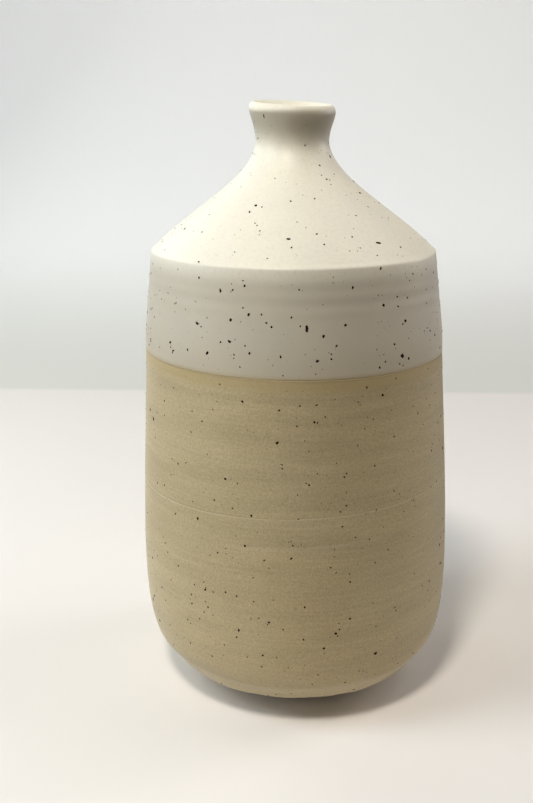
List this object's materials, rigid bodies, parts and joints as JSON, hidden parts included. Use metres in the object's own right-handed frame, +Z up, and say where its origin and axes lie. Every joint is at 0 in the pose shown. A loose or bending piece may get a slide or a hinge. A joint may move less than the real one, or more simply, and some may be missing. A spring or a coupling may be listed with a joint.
{
  "type": "stoneware bottle vase",
  "caption": "Wheel-thrown bottle vase with a rounded body, sharp shoulder, narrow waisted neck and flared rim, white glaze over bare speckled clay.",
  "frame": {"origin": "centre of the body's widest ring, brought down to the surface that the foot stands on", "axes": "+Z up, from the foot to the lip. -Y is the front that the vase is seen from. The body leans by about 2 mm towards -X at the lip."},
  "size_m": [0.1104, 0.1104, 0.206],
  "materials": {
    "bare_stoneware": "matte, unglazed, fine grained with small dark iron specks",
    "white_satin_glaze": "satin",
    "liner_glaze": "satin"
  },
  "bodies": {
    "root": {"clay_body": "bare_stoneware", "outer_glaze": "white_satin_glaze", "liner_glaze": "liner_glaze"}
  },
  "joints": []
}
